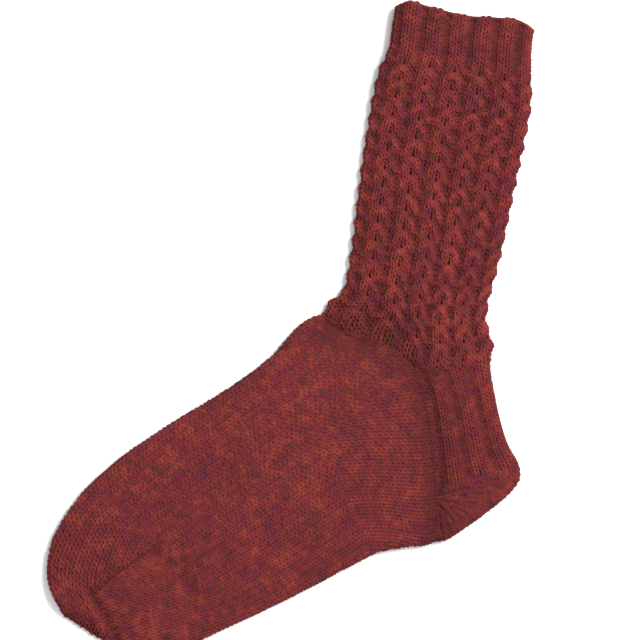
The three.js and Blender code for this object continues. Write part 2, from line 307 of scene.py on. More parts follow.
class Cloth:
    """A section's middle surface. line_at(share) gives a row's plan line and the length
    along it to the side line, and ring sections have a front fold as well as a back fold."""

    def __init__(self, rows, line_at, ring=True, squash_at=None):
        self.rows = rows
        self.ring = ring
        self.around = np.zeros(rows + 1)
        self.side = np.zeros(rows + 1)
        self.places = np.zeros((rows + 1, AROUND + 1, 3))
        for row in range(rows + 1):
            share = row / rows
            line, side_length = line_at(share)
            squash = squash_at(share) if squash_at else 1.0
            self.measure(row, line, side_length, squash)
        down = np.gradient(self.places, axis=0)
        if ring:
            wrapped = np.concatenate([self.places[:, -2:-1], self.places, self.places[:, 1:2]], 1)
            across = wrapped[:, 2:] - wrapped[:, :-2]
        else:
            across = np.gradient(self.places, axis=1)
        self.normals = unit(np.cross(down, across))

    def measure(self, row, line, side_length, squash):
        back = FOLD_SHARE * height_at(line.at(1))
        front = FOLD_SHARE * height_at(line.at(0)) if self.ring else 0
        rising, falling = QUARTER[:-1], QUARTER[-2::-1]
        travelled = [np.linspace(front, line.length - back, FLAT_PLACES)]
        travelled.append(line.length - back * (1 - np.cos(falling)))
        turn = [np.full(FLAT_PLACES, math.pi / 2), falling]
        inwards = [np.zeros(FLAT_PLACES), np.full(len(falling), -MID)]
        if self.ring:
            travelled.insert(0, front * (1 - np.cos(rising)))
            turn.insert(0, rising)
            inwards.insert(0, np.full(len(rising), MID))
        travelled, turn, inwards = (np.concatenate(x) for x in (travelled, turn, inwards))
        height = height_at(line.after(travelled)) * squash
        plan = line.after(travelled + inwards * np.cos(turn))
        rise = np.maximum(height / 2 - MID, 0) * np.sin(turn)
        upper = np.column_stack([plan, height / 2 + rise])
        lower = np.column_stack([plan, height / 2 - rise])[::-1][1:]
        loop = np.vstack([upper, lower])
        steps = np.linalg.norm(np.diff(loop, axis=0), axis=1)
        arc = np.concatenate([[0], np.cumsum(steps)])
        self.around[row] = arc[-1]
        share = np.linspace(0, 1, AROUND + 1)
        self.places[row] = np.stack([np.interp(share, arc / arc[-1], loop[:, k]) for k in range(3)], -1)
        if side_length is not None:
            self.side[row] = np.interp(side_length, travelled, arc[:len(travelled)]) / arc[-1]

    def look_up(self, grid, around, row):
        """Interpolates a grid, and runs on in a straight line past the first and last row."""
        around = np.mod(around, 1) if self.ring else np.clip(around, 0, 1)
        r = np.clip(np.floor(row).astype(int), 0, self.rows - 1)
        a = np.clip((around * AROUND).astype(int), 0, AROUND - 1)
        fr = (row - r)[..., None]
        fa = (around * AROUND - a)[..., None]
        near = grid[r, a] * (1 - fa) + grid[r, a + 1] * fa
        far = grid[r + 1, a] * (1 - fa) + grid[r + 1, a + 1] * fa
        return near * (1 - fr) + far * fr

    def along_rows(self, values, row):
        """A value kept for each row, at fractional rows."""
        return np.interp(row, np.arange(self.rows + 1), values)

    def place(self, around, row):
        return self.look_up(self.places, around, row), unit(self.look_up(self.normals, around, row))


print("places in each row's grid:", AROUND + 1)

# %% [markdown]
# ## The six sections
#
# A sock is worked from the cuff down: cuff, leg, heel flap, heel turn, foot and toe. Each one
# hands its last row on to the next, so they share the seam lines. Straight rows would be
# simpler, but at the ankle they would run across the seams. So a row bends like its seam where
# it lies next to it, and less and less like it further on.

# %% Count the rows and lay out the sections
ROWS = {"cuff": 11, "leg": 64, "heelFlap": 30, "heelTurn": 22, "foot": 60, "toe": 24}
side_share = hem_instep.length / hem.length


def cuff_line(share):
    share = RIM_IN + (1 - RIM_IN) * share
    front, back = front_fold("rim", "cuff_foot"), back_fold("rim", "cuff_foot")
    line = bent_like(smooth_line(RIM), 1 - share, front.at(share), back.at(share))
    return line, line.length * 0.5


def leg_line(share):
    front, back = front_fold("cuff_foot", "leg_foot"), back_fold("cuff_foot", "leg_foot")
    line = bent_like(hem, share**2, front.at(share), back.at(share))
    return line, line.length * (0.5 + (side_share - 0.5) * share**2)


def flap_line(share):
    back = back_fold("leg_foot", "flap_foot")
    return bent_like(hem_heel, 1 - share, flap_side.at(share), back.at(share)), None


def turn_line(share):
    back = back_fold("flap_foot", "heel_end")
    return bent_like(heel_side, share, pivot_side.at(share), back.at(share)), None


def foot_line(share):
    front, back = front_fold("leg_foot", "toe_start"), back_fold("heel_end", "toe_start")
    bend = (1 - share) ** BEND_FADE
    corner = Line(SIDE_OF_FOOT).at(share + SIDE_LEAD * share * (1 - share))
    instep = bent_like(hem_instep, bend, front.at(share), corner)
    return joined(instep, bent_like(picked_up, bend, corner, back.at(share))), instep.length


def toe_line(share):
    front, back = front_fold("toe_start", "toe_end"), back_fold("toe_start", "toe_end")
    side = smooth_line(SIDE_OF_TOE).at(share)
    instep = Line([front.at(share), side])
    return joined(instep, Line([side, back.at(share)])), instep.length


def toe_squash(share):
    """The toe's height falls off in a quarter round next to its grafted end."""
    round_from = 1 - TOE_ROUND / smooth_line(SIDE_OF_TOE).length
    rounding = max(share - round_from, 0) / (1 - round_from)
    return max(math.sqrt(1 - rounding**2), TOE_END_HEIGHT)


cloths = {
    "cuff": Cloth(ROWS["cuff"], cuff_line),
    "leg": Cloth(ROWS["leg"], leg_line),
    "heelFlap": Cloth(ROWS["heelFlap"], flap_line, ring=False),
    "heelTurn": Cloth(ROWS["heelTurn"], turn_line, ring=False),
    "foot": Cloth(ROWS["foot"], foot_line),
    "toe": Cloth(ROWS["toe"], toe_line, squash_at=toe_squash),
}
for section, cloth in cloths.items():
    print(section, "round, mm:", cloth.around[[0, -1]].round(1))

# %% [markdown]
# ## Where a stitch lies
#
# A stitch is named by its number round the row, counted from the front fold. Its place could
# be an even share of the way round, but the stitches of a sock stay in columns that follow the
# side line, where instep and heel meet, so each half of a layer gets its own fifteen. In the
# foot and the toe the count changes, because stitches are lost at the side line. There they
# are counted from the middle of the instep and from the middle of the sole.

# %% Where a stitch number lies round the tube
HALF_LAYER = 15  # stitches of one layer, fold to side line
ROUND = 4 * HALF_LAYER
GUSSET_STITCHES, GUSSET_ROWS = 9, 20
TOE_LEFT, TOE_FROM, TOE_TO = 7, 2, 22
TURN_DROPPED = 6  # stitches that half of the heel turn loses


def leg_around(stitch, side):
    stitch = np.mod(stitch, ROUND)
    half = np.minimum(stitch, ROUND - stitch)
    upper = np.where(half < HALF_LAYER, side * half / HALF_LAYER,
                     side + (0.5 - side) * (half - HALF_LAYER) / HALF_LAYER)
    return np.where(stitch < 2 * HALF_LAYER, upper, 1 - upper)


def half_instep(section, row):
    if section == "foot":
        return HALF_LAYER + 0 * row
    dropped = np.clip((row - TOE_FROM) / (TOE_TO - TOE_FROM), 0, 1)
    return HALF_LAYER - (HALF_LAYER - TOE_LEFT) * dropped


def half_sole(section, row):
    if section == "foot":
        return HALF_LAYER + GUSSET_STITCHES * np.clip(1 - row / GUSSET_ROWS, 0, 1)
    return half_instep(section, row)


def half_heel(section, row):
    if section == "heelFlap":
        return HALF_LAYER + 0 * row
    return HALF_LAYER - TURN_DROPPED * row / ROWS[section]


def around_at(section, zone, stitch, row):
    """zone is 0 for the instep or a whole row, and 1 for the sole."""
    cloth = cloths[section]
    side = cloth.along_rows(cloth.side, row)
    if section in ("cuff", "leg"):
        return leg_around(stitch, side)
    if section in ("heelFlap", "heelTurn"):
        return 0.5 + stitch / (2 * half_heel(section, row))
    instep, sole = half_instep(section, row), half_sole(section, row)
    count = 2 * (instep + sole)
    middle = np.where(zone == 0, side - instep / count, side + sole / count)
    return middle + stitch / count


print("stitches round the leg:", ROUND)
print("stitches at the graft:", 4 * TOE_LEFT)

# %% [markdown]
# ## Short rows of the heel turn
#
# The cup under the heel is worked in rows that turn back before they reach the side, so the
# cloth has more rows at the back fold than at its edges. Rows squeezed together at the side
# would look crushed. So each row has a reach: odd rows turn back soonest, every second of the
# rest goes further, every second of those further still, and only the others go all the way.

# %% How far each short row reaches
SHORT_ROWS = {1: 0.3, 2: 0.63, 4: 0.81}  # the share of the way out that a row reaches
TURN_ROW = 2.2  # mm, a row's own height
TURN_AT_SIDE, TURN_AT_BACK = 0.3, 2.7  # mm between rows at the fan's two ends


def reach_of(row):
    for step, reach in SHORT_ROWS.items():
        if row % (2 * step) == step:
            return reach
    return 1.0


def tall_at(section, stitch, row):
    """How much taller a loop grows where its neighbours have turned back."""
    if section != "heelTurn":
        return 1.0
    share = np.clip(np.abs(stitch) / half_heel(section, row), 0, 1)
    spacing = TURN_AT_SIDE + (TURN_AT_BACK - TURN_AT_SIDE) * (1 - share)
    return np.maximum(1, TURN_ROW / spacing)


print("reach of the first turn rows:", [reach_of(row) for row in range(9)])

# %% [markdown]
# ## The stitches of a row
#
# In the cuff, the leg and the heel flap a rib is three knit stitches, which stand up, and two
# purl stitches, which sink between the ribs. The heel turn, the foot and the toe are all
# knit. A drawn chart could hold every stitch, but the pattern repeats, so each row's list is
# worked out from the stitch numbers.

# %% Which stitches a row holds
RIB, KNIT = 5, 3  # stitches in a rib's repeat, and the knit ones among them
RIB_PHASE = -0.8  # the middle of a rib, next to the front fold
FLAP_PHASE = 0.3  # the edge of a rib, next to the back fold


def edges_of(half):
    """Stitch edges from -half to half, with whole numbers inside."""
    inner = np.arange(-round(half) + 1, round(half))
    return np.concatenate([[-half], inner, [half]])


def ribbed_round():
    number = np.arange(ROUND)
    low = RIB_PHASE - KNIT / 2 + number
    return np.zeros(ROUND, int), low, low + 1, np.where(number % RIB < KNIT, 1, -1)


def heel_row(section, row):
    half = half_heel(section, row + 0.5)
    edges = edges_of(float(half))
    middles = (edges[1:] + edges[:-1]) / 2
    beside = np.mod(np.abs(middles) - FLAP_PHASE, RIB)
    knit = np.where((beside < KNIT) | (section == "heelTurn"), 1, -1)
    reach = reach_of(row) if section == "heelTurn" else 1
    kept = np.abs(middles) < half * reach
    return np.zeros(kept.sum(), int), edges[:-1][kept], edges[1:][kept], knit[kept]


def plain_round(section, row):
    zones, low, high = [], [], []
    for zone, half_of in enumerate((half_instep, half_sole)):
        edges = edges_of(float(half_of(section, row + 0.5)))
        zones.append(np.full(len(edges) - 1, zone))
        low.append(edges[:-1])
        high.append(edges[1:])
    zones, low, high = (np.concatenate(x) for x in (zones, low, high))
    return zones, low, high, np.ones(len(low), int)


def stitches_of(section, row):
    """The row's stitches in order: their zone, their two edges, and 1 for knit or -1 for purl."""
    if section in ("cuff", "leg"):
        return ribbed_round()
    if section in ("heelFlap", "heelTurn"):
        return heel_row(section, row)
    return plain_round(section, row)


print("stitches in the first foot row:", len(stitches_of("foot", 0)[0]))
print("stitches in the last toe row:", len(stitches_of("toe", ROWS["toe"] - 1)[0]))

# %% [markdown]
# ## Ribs and eyelets
#
# On the leg every fourth row gathers the three knit columns of a rib to a point, and a yarn
# over below it leaves an eyelet. The cloth round one eyelet looks like a small shell, and the
# values below are named for it. Holes could be cut into a plain cloth, but a knitted hole has
# no cut edge: the loops round it only lean away. So the strands are moved instead. Purl
# columns draw in, a gathered point pulls its columns together, and an eyelet pushes away the
# loops round it.

# %% How ribs, shells and eyelets move the yarn
LEG_STITCH, LEG_ROW = 2.8, 2.37
PURL_SQUEEZE = 0.38
SHELL_ROWS = 4
SHELL_APEX = 3.6  # the row of the first gathered point
GATHER = 0.42
GATHER_BELOW, GATHER_ABOVE = 1.3, 0.55  # rows over which a gathered point fades
GATHER_WIDE = 1.9  # stitches to its sides
EYELET_BELOW = 2.9  # rows from a gathered point down to its eyelet
EYELET_PUSH, EYELET_REACH = 1.1, 1.5
NEAREST = 1e-6  # mm, so that an eyelet's very middle can be divided by
LACE_IN = (0.3, 1.8)  # rows over which the lace sets in, below the cuff
LACE_OUT = (ROWS["leg"] - 2, ROWS["leg"] - 0.5)
RIM_SCALLOP, SCALLOP_ROWS = 0.35, 5


def rib_offset(section, stitch):
    """Stitches from the middle of the nearest rib."""
    if section == "heelFlap":
        beside = np.mod(np.abs(stitch) - FLAP_PHASE - KNIT / 2 + RIB / 2, RIB) - RIB / 2
        return np.where(stitch < 0, -beside, beside)
    return np.mod(stitch - RIB_PHASE + RIB / 2, RIB) - RIB / 2


def below_apex(row):
    return np.mod(row - SHELL_APEX, SHELL_ROWS)


def in_lace(row):
    return smooth_step(row, *LACE_IN) * (1 - smooth_step(row, *LACE_OUT))


def pull_yarn(section, stitch, row):
    """Moves a place on a strand, given by its stitch and row."""
    off = rib_offset(section, stitch)
    stitch = stitch + PURL_SQUEEZE * RIB / (2 * math.pi) * np.sin(2 * math.pi * off / RIB)
    if section == "cuff":
        lift = np.cos(2 * math.pi * off / RIB) * np.clip(1 - row / SCALLOP_ROWS, 0, 1)
        return stitch, row - RIM_SCALLOP * lift
    if section != "leg":
        return stitch, row
    off = rib_offset(section, stitch)
    below = below_apex(row)
    close = np.exp(-(below / GATHER_BELOW) ** 2)
    close = close + np.exp(-((SHELL_ROWS - below) / GATHER_ABOVE) ** 2)
    stitch = stitch - off * GATHER * close * np.exp(-(off / GATHER_WIDE) ** 2) * in_lace(row)
    x = rib_offset(section, stitch) * LEG_STITCH
    y = (below - EYELET_BELOW) * LEG_ROW
    away = np.hypot(x, y) + NEAREST
    push = EYELET_PUSH * np.exp(-(away / EYELET_REACH) ** 2) / away * in_lace(row)
    return stitch + push * x / LEG_STITCH, row + push * y / LEG_ROW


print("eyelet rows down the leg:", ROWS["leg"] // SHELL_ROWS)

# %% [markdown]
# ## Creases and seams
#
# A pressed sock has soft troughs and ridges: at the ankle, along the picked-up edge, and
# where the toe was folded. A sculpted height map would need a picture, so each one is a run of
# straight lines with a height and a width, and the cloth rises or sinks along its normal the
# closer it comes to that line. The hidden layer gets the same ones.

# %% How far a crease lifts the cloth
def points_on(line, first, last, count, shift=(0, 0)):
    """Points spread evenly over a stretch of a line, and moved a little."""
    return [tuple(p) for p in line.at(np.linspace(first, last, count)) + np.array(shift)]


PICKED_UP = points_on(picked_up, 0, 0.97, 9, (-2.1, -0.7))
CHAIN = points_on(flap_side, 0.02, 0.8, 6, (-0.6, -0.3))
ANKLE_SEAMS = points_on(joined(hem_instep, picked_up), 0.06, 1, 14)
CREASES = [  # points, height and width
    ([(-62.0, -120.0), (-77.8, -135.0), (-95.0, -150.5)], -0.9, 2.0),
    ([(-93.5, -151.0), (-84.0, -162.0), (-74.0, -174.5), (-67.0, -183.0)], -1.1, 1.8),
    ([(-97.0, -153.0), (-88.0, -164.5), (-78.5, -176.0)], 0.8, 1.8),
    ([(6.0, 8.5), (20.0, 2.0), (30.0, 0.0)], -1.8, 2.6),
    ([(-46.0, -132.0), (-38.0, -146.0)], -0.5, 4.0),
    (PICKED_UP, -1.4, 3.6),
    (CHAIN, 0.8, 1.2),
]
SWELL_HEIGHT = 0.22
SWELL_ACROSS, SWELL_DOWN, SWELL_START = 11.3, 13.7, 0.8
SWELL_WANDER, WANDER_DOWN = 1.3, 17.1


def near_line(places, points):
    """Distance in plan from each place to a run of straight lines."""
    best = np.full(places.shape[:-1], np.inf)
    for p, q in zip(points[:-1], points[1:]):
        p, q = np.array(p), np.array(q)
        share = np.clip((places[..., :2] - p) @ (q - p) / ((q - p) @ (q - p)), 0, 1)
        off = places[..., :2] - p - share[..., None] * (q - p)
        best = np.minimum(best, np.linalg.norm(off, axis=-1))
    return best


def ridge(places, points, height, width):
    return height * np.exp(-(near_line(places, points) / width) ** 2)


def swell_at(places):
    """A faint slow unevenness, as hand knitting never lies quite flat."""
    x, y = places[..., 0], places[..., 1]
    wander = SWELL_WANDER * np.sin(y / WANDER_DOWN)
    return SWELL_HEIGHT * np.sin(x / SWELL_ACROSS + wander) * np.sin(y / SWELL_DOWN + SWELL_START)


def creases_at(places):
    return sum(ridge(places, *crease) for crease in CREASES) + swell_at(places)


print("creases and seams:", len(CREASES))

# %% [markdown]
# ## The relief of the ribs
#
# Knit columns stand above purl ones, and on the leg the yarn heaps up in two arms that run
# down and outwards from each gathered point and leave its eyelet between them. The lift could
# be left to the strands alone, but real cloth swells as a whole, so the same relief moves the
# strands and the wall under them.

# %% How far the cloth is lifted
RIB_LIFT = {"cuff": 0.6, "leg": 0.26, "heelFlap": 0.32}
RIB_FLATTENED = 0.25  # broadens a rib's top
SHELL_LIFT, SHELL_LEVEL = 1.5, 0.35  # mm, and the level that is taken off again
ARM_SPREAD, ARM_WIDTH = 0.66, 0.75  # in stitches: out for each row down, and half width
ARM_FADE = 9  # rows down to which an arm would fade out
POINT_ROWS = (3.4, 4.0)  # rows below one point over which the next one rises
HEM_LIFT, HEM_ROWS = 0.5, (ROWS["leg"] - 5, ROWS["leg"] - 1)


def rib_at(section, stitch):
    turn = 2 * math.pi * rib_offset(section, stitch) / RIB
    return np.cos(turn) - RIB_FLATTENED * np.cos(2 * turn)


def shell_at(stitch, row):
    below = below_apex(row)
    off = np.abs(rib_offset("leg", stitch))
    arms = np.exp(-((off - ARM_SPREAD * below) / ARM_WIDTH) ** 2) * (1 - below / ARM_FADE)
    point = np.exp(-(off / ARM_WIDTH) ** 2) * smooth_step(below, *POINT_ROWS)
    return arms + point


def relief_at(section, stitch, row, places):
    total = creases_at(places)
    if section in RIB_LIFT:
        total = total + RIB_LIFT[section] * rib_at(section, stitch)
    if section == "leg":
        total = total + SHELL_LIFT * (shell_at(stitch, row) - SHELL_LEVEL) * in_lace(row)
        total = total + HEM_LIFT * smooth_step(row, *HEM_ROWS)
    return total


print("rib lifts, mm:", RIB_LIFT)

# %% [markdown]
# ## Yarn
#
# A row of knitting is one strand. In each stitch it climbs on the near side, turns over as
# the loop's head behind the next row, and comes down again. Each loop could be copied from
# one modelled stitch, but then none would lean or stretch with the cloth. Sines and cosines of
# one angle give the same path at any size, and a purl stitch is that loop seen from its back.

# %% The path of one strand
LEAN = 1.6  # how far the two sides of a loop splay into a V
LOOP_HEIGHT = 1.66  # from the foot of a loop to its head, in rows
LOOP_DEPTH = 0.36  # mm, in front of and behind the middle surface
LEAN_UNEVEN, HEIGHT_UNEVEN = 0.12, 0.05  # how much loops differ, as shares
ROW_UNEVEN, DEPTH_UNEVEN = 0.06, 0.09  # and in rows and mm
HEAD_DENSE = 0.35  # crowds the samples where a loop turns
TURN_SHARE = 0.12  # share of a stitch over which a strand passes from knit to purl
rng = np.random.default_rng(60)


def loop_path(count, samples, kind, kind_before, kind_after):
    """The way through some stitches: across in stitches, along in rows and out in mm, then
    1 for knit to -1 for purl, and 1 behind the cloth to -1 in front of it."""
    share = np.arange(samples) / samples
    share = share - HEAD_DENSE / (4 * math.pi) * np.sin(4 * math.pi * share)
    share = np.tile(share, (count, 1))
    uneven = rng.normal(0, 1, (4, count, 1))
    t = 2 * math.pi * share
    x = share + LEAN * (1 + LEAN_UNEVEN * uneven[0]) * np.sin(2 * t) / (2 * math.pi)
    y = -LOOP_HEIGHT / 2 * (1 + HEIGHT_UNEVEN * uneven[1]) * np.cos(t) + ROW_UNEVEN * uneven[2]
    from_before = np.clip(1 - share / TURN_SHARE, 0, 1) / 2
    to_after = np.clip(1 - (1 - share) / TURN_SHARE, 0, 1) / 2
    facing = kind[:, None] * (1 - from_before - to_after)
    facing = facing + kind_before[:, None] * from_before + kind_after[:, None] * to_after
    z = -LOOP_DEPTH * facing * np.cos(2 * t) + DEPTH_UNEVEN * uneven[3]
    return x, y, z, facing, np.cos(2 * t)


print("loop height in a leg row, mm:", round(LOOP_HEIGHT * LEG_ROW, 2))

# %% [markdown]
# ## A strand on the cloth
#
# The path is now laid on its section's middle surface and lifted by the relief. A strand also
# needs a thickness, a little more where it lies on top, and a painted shade that darkens it the
# deeper it lies, because between the ribs the wool's own fuzz keeps the light out. The same
# painted shade also darkens the cloth beside the ankle's seams. Rendering every fibre would show
# the shade in the troughs by itself, but it would take far too many of them.

# %% One strand, and the strands of a row
PAINTED_SHADE_FROM, PAINTED_SHADE_TO = 0.9, -1.5  # mm of lift, from no painted shade to full painted shade
SEAM_SHADE, SEAM_REACH = 0.62, 12.0  # strength of the painted shade beside the ankle's seams, and its reach in mm
PLUMP = 0.12  # share by which a knit loop is thicker where it lies on top, and thinner behind
PURL_THIN = 0.24  # share by which the tighter purl loops are thinner
YARN_RADIUS = {
    "cuff": 0.8, "leg": 0.8, "heelFlap": 0.8, "heelTurn": 0.95, "foot": 1.04, "toe": 0.92,
}
UPPER_SAMPLES, LOWER_SAMPLES = 10, 8
OVER_FOLD = 0.022  # share of the way round by which the finer strands pass the folds


def painted_shade_at(lift, places):
    """Painted shade: 0 on the tops and 1 in the troughs, and more beside the ankle's seams."""
    beside_seam = ridge(places, ANKLE_SEAMS, SEAM_SHADE, SEAM_REACH)
    return np.clip(smooth_step(-lift, -PAINTED_SHADE_FROM, -PAINTED_SHADE_TO) + beside_seam, 0, 1)


def strand(section, row, zone, low, high, kind, kind_before, kind_after, samples):
    """Points, normals, radii and painted shade along the loops of some stitches of one row."""
    x, y, z, facing, behind = loop_path(len(low), samples, kind, kind_before, kind_after)
    stitch = low[:, None] + x * (high - low)[:, None]
    zones = np.repeat(zone[:, None], samples, 1)
    middle = row + 0.5
    at_row = middle + y * tall_at(section, stitch, middle)
    # The strand ends where its last stitch does
    stitch = np.append(stitch.ravel(), high[-1])
    at_row = np.append(at_row.ravel(), middle - LOOP_HEIGHT / 2)
    z = np.append(z.ravel(), 0)
    zones = np.append(zones.ravel(), zone[-1])
    facing = np.append(facing.ravel(), facing[-1, -1])
    behind = np.append(behind.ravel(), 1)
    if section in RIB_LIFT:
        stitch, at_row = pull_yarn(section, stitch, at_row)
    places, normals = cloths[section].place(around_at(section, zones, stitch, at_row), at_row)
    lift = relief_at(section, stitch, at_row, places)
    points = places + normals * (z + lift)[:, None]
    thinner = PLUMP * np.maximum(facing, 0) * behind + PURL_THIN * np.maximum(-facing, 0)
    radius = YARN_RADIUS[section] * (1 - thinner)
    points[:, 2] = np.maximum(points[:, 2], radius)
    return points, normals, radius, painted_shade_at(lift, places)


def strands_of(section, row):
    """One row's strands: over the upper layer and a little round both folds, and under it."""
    zone, low, high, kind = stitches_of(section, row)
    middles = around_at(section, zone, (low + high) / 2, np.full(len(low), row + 0.5))
    parts = [zone, low, high, kind, np.roll(kind, 1), np.roll(kind, -1)]
    if cloths[section].ring:
        middles = np.mod(middles, 1)
        upper = (middles < 0.5 + OVER_FOLD) | (middles > 1 - OVER_FOLD)
        first = int(np.flatnonzero(upper & ~np.roll(upper, 1))[0])
        parts = [np.roll(part, -first) for part in parts]
    else:
        upper = middles < 0.5 + 2 * OVER_FOLD
    split = int(upper.sum())
    over = strand(section, row, *(part[:split] for part in parts), UPPER_SAMPLES)
    under = strand(section, row, *(part[split:] for part in parts), LOWER_SAMPLES)
    return over, under


for layer, count in (("upper", UPPER_SAMPLES), ("lower", LOWER_SAMPLES)):
    print("points in a stitch of the", layer, "layer:", count)

# %% [markdown]
# ## Mesh from strands
#
# A strand becomes a slim tube. A curve object with a bevel would do it too, but it twists
# where a loop turns over, so each ring of points is built here from the strand's direction and
# the cloth's normal. Many tubes go into one mesh, straight from arrays, which is quick. Each
# tube is one band of a UV map, so a finish that is kept on a picture has no scattered islands.

# %% Tubes to mesh
UPPER_SIDES, LOWER_SIDES = 5, 4
BAND_MARGIN = 0.04  # share of a band left free on each side
STRAND_APART = 17  # keeps the flecks of one strand unlike the next one's


def tube_arrays(points, normals, sides, radius):
    ahead = unit(np.gradient(points, axis=0))
    across = unit(np.cross(ahead, normals))
    up = np.cross(across, ahead)
    angle = 2 * math.pi * np.arange(sides) / sides
    ring = np.cos(angle)[None, :, None] * up[:, None] + np.sin(angle)[None, :, None] * across[:, None]
    radii = np.broadcast_to(radius, len(points))[:, None, None]
    verts = (points[:, None] + radii * ring).reshape(-1, 3)
    count = len(points)
    i, k = np.meshgrid(np.arange(count - 1), np.arange(sides), indexing="ij")
    a, b = i * sides + k, i * sides + (k + 1) % sides
    quads = np.stack([a, b, b + sides, a + sides], -1).reshape(-1, 4)
    u = np.stack([i, i, i + 1, i + 1], -1).reshape(-1, 4) / (count - 1)
    v = np.stack([k, k + 1, k + 1, k], -1).reshape(-1, 4) / sides
    length = np.concatenate([[0], np.cumsum(np.linalg.norm(np.diff(points, axis=0), axis=1))])
    along = np.stack([length[i], length[i], length[i + 1], length[i + 1]], -1).reshape(-1, 4)
    return verts, quads, u, v, along


def mesh_object(name, verts, faces):
    """faces is an array of quads. Places are in mm."""
    mesh = bpy.data.meshes.new(name)
    mesh.vertices.add(len(verts))
    mesh.vertices.foreach_set("co", (np.asarray(verts, np.float32) * MM).ravel())
    mesh.loops.add(faces.size)
    mesh.loops.foreach_set("vertex_index", faces.astype(np.int32).ravel())
    mesh.polygons.add(len(faces))
    mesh.polygons.foreach_set("loop_start", np.arange(0, faces.size, faces.shape[1], dtype=np.int32))
    mesh.polygons.foreach_set("use_smooth", np.full(len(faces), True))
    mesh.update(calc_edges=True)
    piece = bpy.data.objects.new(name, mesh)
    bpy.context.scene.collection.objects.link(piece)
    print(name, "triangles:", 2 * len(faces))
    return piece


def add_uv(piece, name, u, v):
    layer = piece.data.uv_layers.new(name=name)
    layer.data.foreach_set("uv", np.stack([u, v], -1).astype(np.float32).ravel())


# Keeps the painted shade on each point, for the wool's colour to read.
def add_painted_shade(piece, values):
    layer = piece.data.attributes.new("hollow", "FLOAT", "POINT")
    layer.data.foreach_set("value", values.astype(np.float32))


def strands_piece(name, strands, apart):
    """One mesh from strands, each with its number of sides."""
    verts, faces, us, vs, alongs, arounds, painted_shades = [], [], [], [], [], [], []
    start = 0
    for band, ((points, normals, radius, hollow), sides) in enumerate(strands):
        tube_verts, quads, u, v, along = tube_arrays(points, normals, sides, radius)
        verts.append(tube_verts)
        faces.append(quads + start)
        start += len(tube_verts)
        us.append(u)
        vs.append((band + BAND_MARGIN + (1 - 2 * BAND_MARGIN) * v) / len(strands))
        alongs.append(along)
        arounds.append(v + apart * band)
        painted_shades.append(np.repeat(hollow, sides))
    piece = mesh_object(name, np.vstack(verts), np.vstack(faces))
    add_painted_shade(piece, np.concatenate(painted_shades))
    add_uv(piece, "OFBake", np.vstack(us), np.vstack(vs))
    add_uv(piece, "strand", np.vstack(alongs), np.vstack(arounds))
    return piece


print("sides of a tube in the upper and the lower layer:", UPPER_SIDES, LOWER_SIDES)

# %% [markdown]
# ## The knitted pieces
#
# The sock is knitted from the cuff down, and so are its pieces. One mesh for all of it would
# be slow to handle, and one for each row would make hundreds, so there is one piece for each
# section, and the leg and the foot are split in two.

# %% Knit the sections
LEG_SPLIT, FOOT_SPLIT = 32, 29  # the rows where those two are split


def knit_piece(piece_name, section, rows):
    strands = []
    for row in rows:
        over, under = strands_of(section, row)
        strands.append((over, UPPER_SIDES))
        strands.append((under, LOWER_SIDES))
    return strands_piece(piece_name, strands, STRAND_APART)


knits = {
    "cuff": [knit_piece("cuff_knit", "cuff", range(ROWS["cuff"]))],
    "leg": [
        knit_piece("leg_knit_upper", "leg", range(LEG_SPLIT)),
        knit_piece("leg_knit_lower", "leg", range(LEG_SPLIT, ROWS["leg"])),
    ],
    "heelFlap": [knit_piece("heel_flap_knit", "heelFlap", range(ROWS["heelFlap"]))],
    "heelTurn": [knit_piece("heel_turn_knit", "heelTurn", range(ROWS["heelTurn"]))],
    "foot": [
        knit_piece("foot_knit_back", "foot", range(FOOT_SPLIT)),
        knit_piece("foot_knit_front", "foot", range(FOOT_SPLIT, ROWS["foot"])),
    ],
    "toe": [knit_piece("toe_knit", "toe", range(ROWS["toe"]))],
}

# %% [markdown]
# ## The wall behind the loops
#
# Knitting has gaps between its loops, and on the real sock a gap shows the loops behind, in
# shade. Thicker yarn would close the gaps and lose the stitches with them. So a thin closed wall
# lies just under the strands and follows the same relief, and its colour is the wool's, darkened
# as painted shade. It is also the sheet of the cloth.

# %% A thin wall under the strands
WALL_AROUND = 120
WALL_TOP = {  # mm from the middle surface
    "cuff": 0.1, "leg": -0.45, "heelFlap": 0.1, "heelTurn": 0.4, "foot": 0.62, "toe": 0.35,
}
WALL_UNDER = -0.95  # mm from the middle surface
FLOOR_TOP, FLOOR_UNDER = 1.0, 1.4  # the least height of the wall's two skins, mm
TOE_WALL_END = 1.4  # rows by which the toe's wall stops short of the graft


def stitch_at(section, around, row):
    """The stitch number at a share of the way round, which is what relief_at reads."""
    if section in ("cuff", "leg"):
        side = cloths[section].along_rows(cloths[section].side, row)
        layer = np.minimum(around, 1 - around)
        half = np.where(layer < side, layer / side * HALF_LAYER,
                        HALF_LAYER + (layer - side) / (0.5 - side) * HALF_LAYER)
        return np.where(around < 0.5, half, ROUND - half)
    if section in ("heelFlap", "heelTurn"):
        return (around - 0.5) * 2 * half_heel(section, row)
    return around * 0


